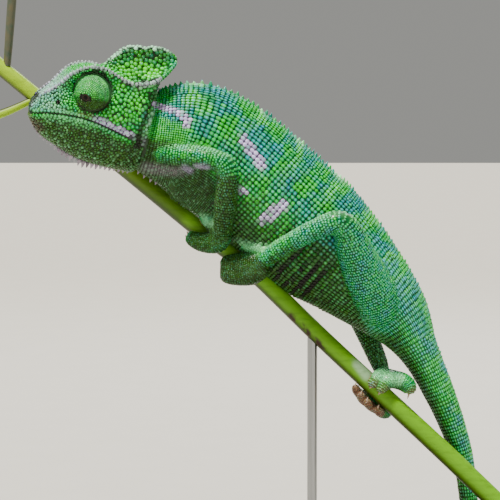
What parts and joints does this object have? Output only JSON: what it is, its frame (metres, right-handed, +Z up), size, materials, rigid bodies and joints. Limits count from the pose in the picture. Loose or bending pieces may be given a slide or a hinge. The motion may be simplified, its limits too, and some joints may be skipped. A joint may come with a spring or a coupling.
{
  "type": "chameleon",
  "caption": "Life-size still model of an Indian chameleon gripping a slanting green stem, head up, tail curled, held by a plain base and slim rods.",
  "frame": {"origin": "centre of the underside of the stand's base", "axes": "+Z up; the head points to -X and the tail to +X; the animal's left side faces -Y"},
  "size_m": [0.1728, 0.092, 0.2082],
  "materials": {
    "skin": "green granular scales, satin, with teal and yellow-green bands and lilac-white marks",
    "eye": "wet dark eye in the opening of the turret",
    "stem": "smooth fresh yellow-green stem",
    "leaf": "dark blue-green leaf stub",
    "stand_wood": "dark stained hardwood, satin lacquer",
    "stand_steel": "brushed steel rod"
  },
  "bodies": {
    "root": {"head": "skin", "lower_jaw": "skin", "left_eye_turret": "skin", "right_eye_turret": "skin", "left_eyeball": "eye", "right_eyeball": "eye", "neck": "skin", "trunk": "skin", "hips": "skin", "tail_1": "skin", "tail_2": "skin", "tail_3": "skin", "tail_4": "skin", "tail_5": "skin", "tail_6": "skin", "left_upper_arm": "skin", "left_forearm": "skin", "left_hand_outer": "skin", "left_hand_inner": "skin", "right_upper_arm": "skin", "right_forearm": "skin", "right_hand_outer": "skin", "right_hand_inner": "skin", "left_thigh": "skin", "left_shin": "skin", "left_foot_outer": "skin", "left_foot_inner": "skin", "right_thigh": "skin", "right_shin": "skin", "right_foot_outer": "skin", "right_foot_inner": "skin", "perch_stem": "stem", "perch_side_shoot": "stem", "perch_leaf": "leaf", "stand_base": "stand_wood", "stand_rod_high": "stand_steel", "stand_rod_low": "stand_steel"}
  },
  "joints": []
}
